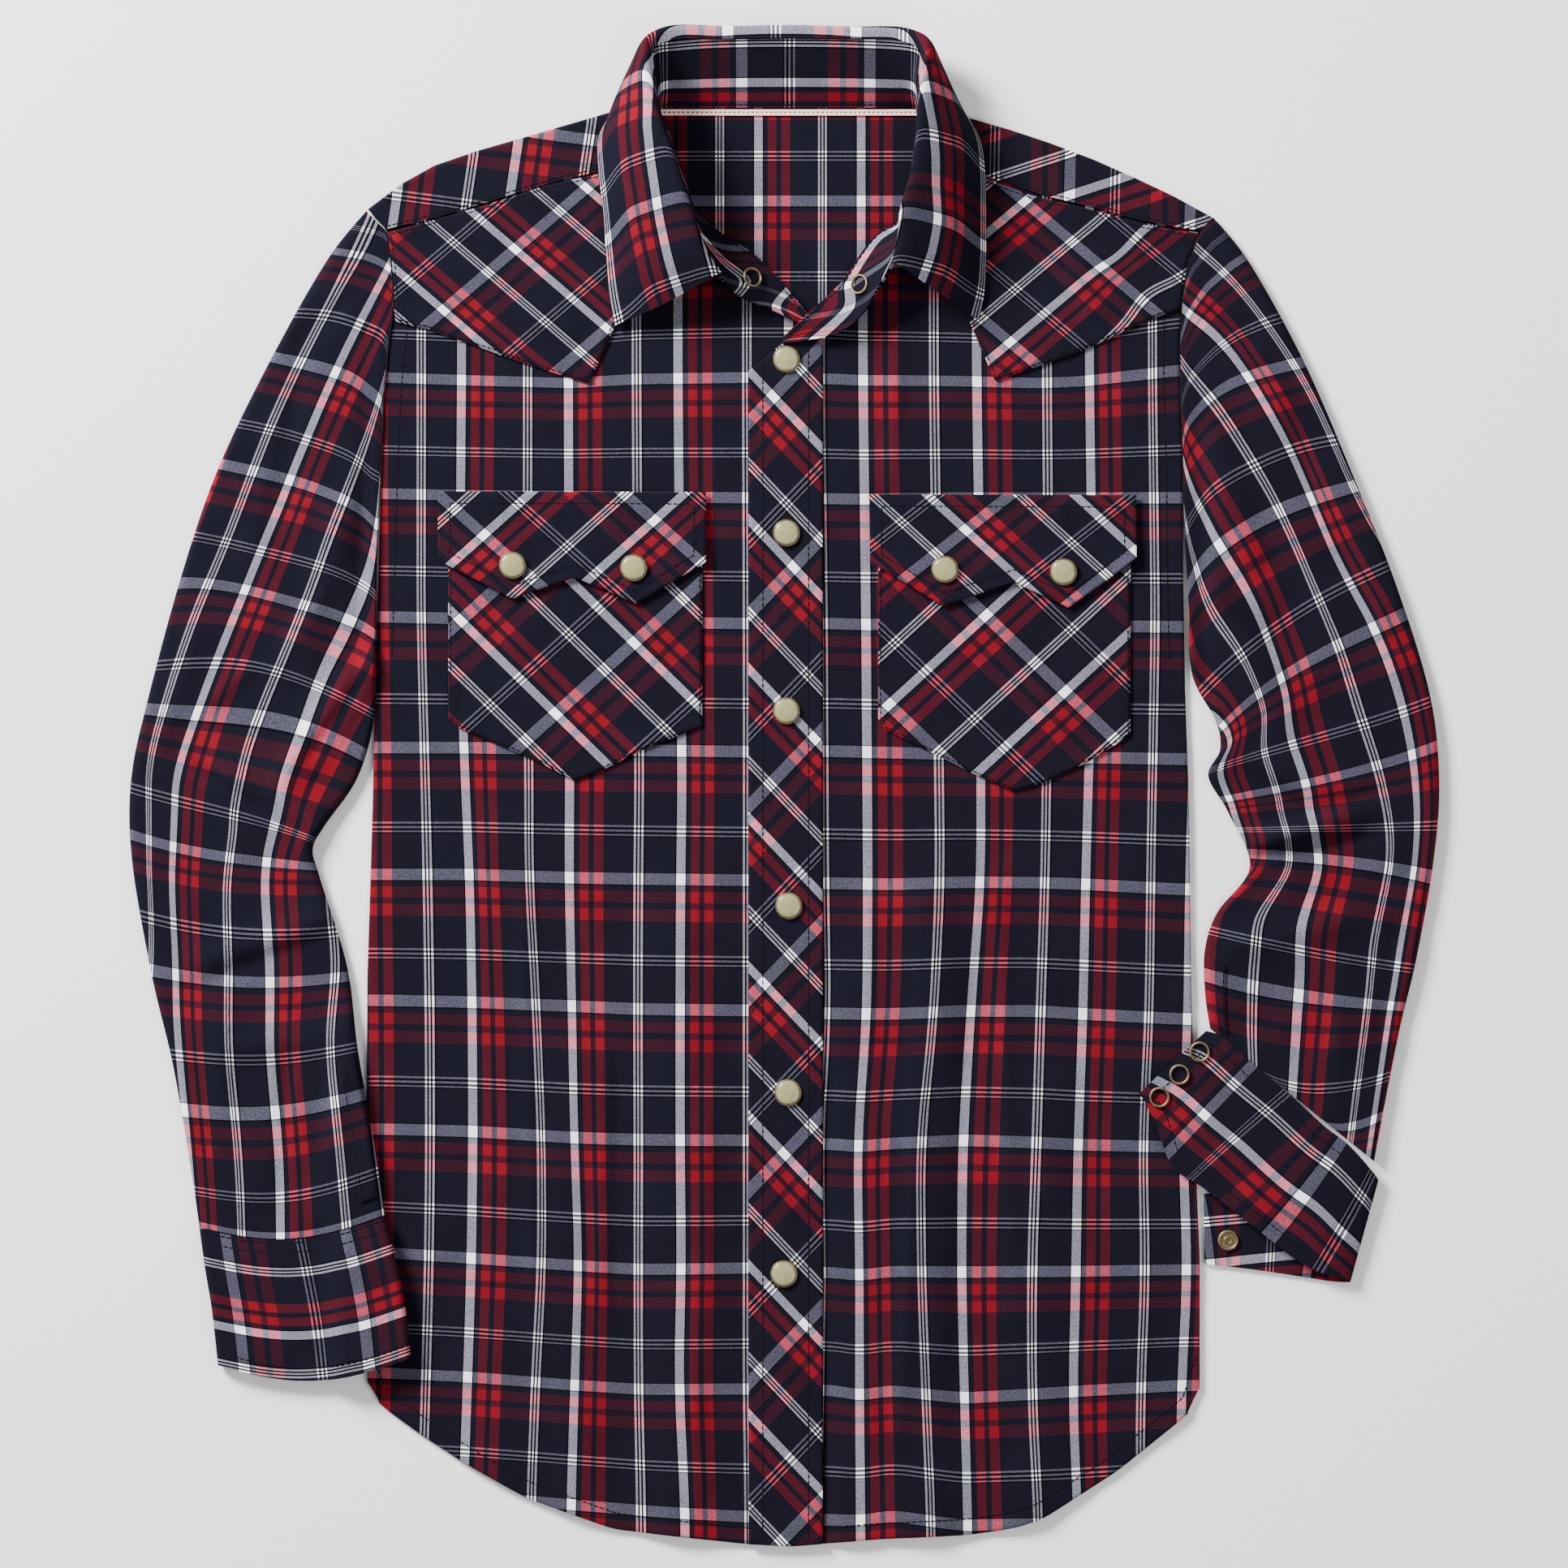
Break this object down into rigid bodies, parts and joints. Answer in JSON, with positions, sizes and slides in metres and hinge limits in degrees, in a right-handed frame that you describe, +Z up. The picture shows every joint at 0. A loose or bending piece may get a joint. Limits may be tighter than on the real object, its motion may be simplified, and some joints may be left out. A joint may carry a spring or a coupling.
{
  "type": "western snap shirt",
  "caption": "Long-sleeved checked western shirt laid flat, with pointed yokes, flapped pockets, pearl snaps, a standing collar, one closed cuff and one folded open.",
  "frame": {"origin": "underside of the back, at the middle of the body, on the surface that the shirt lies on", "axes": "+Z up from the surface, +Y along the body towards the collar, +X towards the wearer's left sleeve"},
  "size_m": [0.6776, 0.786, 0.035],
  "materials": {
    "check_cloth": "plain woven cotton check of navy, red, white and black, soft and matt",
    "bias_check": "the same check cut on the bias or turned, with edge stitching",
    "interlined_check": "the same check over interlining, crisp, with edge stitching",
    "neck_tape": "cream woven tape with a dotted red line",
    "snap_metal": "antique brass, brushed and dulled",
    "snap_pearl": "cream pearl with soft clouding"
  },
  "bodies": {
    "root": {"back": "check_cloth", "back_yoke": "bias_check", "collar_leaf": "interlined_check", "collar_stand": "interlined_check", "cuff_left": "interlined_check", "cuff_right": "interlined_check", "cuff_ring_1": "snap_metal", "cuff_ring_2": "snap_metal", "cuff_ring_3": "snap_metal", "cuff_snap_right_1_pearl": "snap_pearl", "cuff_snap_right_1_rim": "snap_metal", "cuff_snap_right_2_pearl": "snap_pearl", "cuff_snap_right_2_rim": "snap_metal", "cuff_snap_right_3_pearl": "snap_pearl", "cuff_snap_right_3_rim": "snap_metal", "cuff_stud": "snap_metal", "flap_snap_left_1_pearl": "snap_pearl", "flap_snap_left_1_rim": "snap_metal", "flap_snap_left_2_pearl": "snap_pearl", "flap_snap_left_2_rim": "snap_metal", "flap_snap_right_1_pearl": "snap_pearl", "flap_snap_right_1_rim": "snap_metal", "flap_snap_right_2_pearl": "snap_pearl", "flap_snap_right_2_rim": "snap_metal", "front_left": "check_cloth", "front_right": "check_cloth", "front_yoke_left": "bias_check", "front_yoke_right": "bias_check", "neck_tape": "neck_tape", "placket": "interlined_check", "placket_snap_1_pearl": "snap_pearl", "placket_snap_1_rim": "snap_metal", "placket_snap_2_pearl": "snap_pearl", "placket_snap_2_rim": "snap_metal", "placket_snap_3_pearl": "snap_pearl", "placket_snap_3_rim": "snap_metal", "placket_snap_4_pearl": "snap_pearl", "placket_snap_4_rim": "snap_metal", "placket_snap_5_pearl": "snap_pearl", "placket_snap_5_rim": "snap_metal", "placket_snap_6_pearl": "snap_pearl", "placket_snap_6_rim": "snap_metal", "pocket_flap_left": "bias_check", "pocket_flap_right": "bias_check", "pocket_left": "bias_check", "pocket_right": "bias_check", "sleeve_left": "check_cloth", "sleeve_placket_left": "check_cloth", "sleeve_placket_right": "check_cloth", "sleeve_right": "check_cloth", "stand_ring_left": "snap_metal", "stand_ring_right": "snap_metal"}
  },
  "joints": []
}
